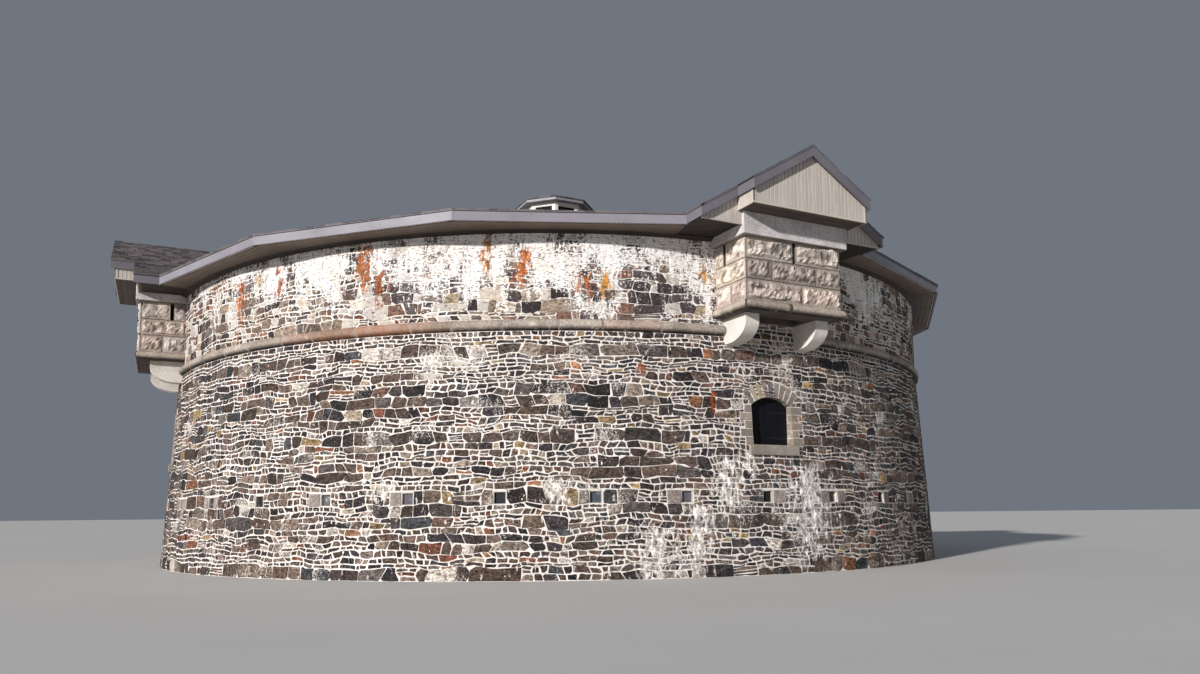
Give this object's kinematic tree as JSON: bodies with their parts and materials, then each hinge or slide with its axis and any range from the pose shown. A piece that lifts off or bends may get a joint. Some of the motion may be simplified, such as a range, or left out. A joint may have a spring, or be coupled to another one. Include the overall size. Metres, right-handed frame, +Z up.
{
  "type": "martello tower",
  "caption": "Round battered stone gun tower with corbelled machicolation boxes under gabled timber dormers and a low many-sided roof with a cupola.",
  "frame": {"origin": "on the tower's axis at ground level", "axes": "+Z up the tower's axis; -Y points to the front machicolation, with a window below it; +X to the right machicolation"},
  "size_m": [24.5104, 24.5104, 11.3503],
  "materials": {
    "rubble_stone": "rough rubble with thick lime mortar",
    "dressed_stone": "rock-faced granite with drafted margins",
    "pale_stone": "smooth dressed granite",
    "timber_floor": "worn boards",
    "platform_stone": "stone flags",
    "shutter_wood": "near-black painted planks",
    "siding_wood": "vertical boards, weathered pale stain",
    "soffit_wood": "dark brown boards",
    "fascia_metal": "matt folded sheet",
    "roof_shingle": "dark brown-grey mineral shingles",
    "white_timber": "white paint",
    "pane_glass": "dark window glass"
  },
  "bodies": {
    "root": {"corbels": "pale_stone", "cupola_curb": "white_timber", "cupola_frame": "white_timber", "cupola_glass": "pane_glass", "cupola_roof": "roof_shingle", "dormer_gable_back": "siding_wood", "dormer_gable_front": "siding_wood", "dormer_gable_left": "siding_wood", "dormer_gable_right": "siding_wood", "dormer_roof_back": "roof_shingle", "dormer_roof_front": "roof_shingle", "dormer_roof_left": "roof_shingle", "dormer_roof_right": "roof_shingle", "eaves_fascia": "fascia_metal", "eaves_soffit": "soffit_wood", "entrance_door": "shutter_wood", "first_floor": "timber_floor", "gun_platform": "platform_stone", "lower_wall_1": "rubble_stone", "lower_wall_2": "rubble_stone", "lower_wall_3": "rubble_stone", "lower_wall_4": "rubble_stone", "lower_wall_5": "rubble_stone", "lower_wall_6": "rubble_stone", "lower_wall_7": "rubble_stone", "lower_wall_8": "rubble_stone", "machicolation_caps": "pale_stone", "machicolation_floor_back": "pale_stone", "machicolation_floor_front": "pale_stone", "machicolation_floor_left": "pale_stone", "machicolation_floor_right": "pale_stone", "machicolation_wall_back": "dressed_stone", "machicolation_wall_front": "dressed_stone", "machicolation_wall_left": "dressed_stone", "machicolation_wall_right": "dressed_stone", "parapet_back_left": "rubble_stone", "parapet_back_right": "rubble_stone", "parapet_front_left": "rubble_stone", "parapet_front_right": "rubble_stone", "roof_deck_back_left": "roof_shingle", "roof_deck_back_right": "roof_shingle", "roof_deck_front_left": "roof_shingle", "roof_deck_front_right": "roof_shingle", "sills": "pale_stone", "string_course": "pale_stone", "wall_plate": "soffit_wood", "window_shutters": "shutter_wood"}
  },
  "joints": []
}
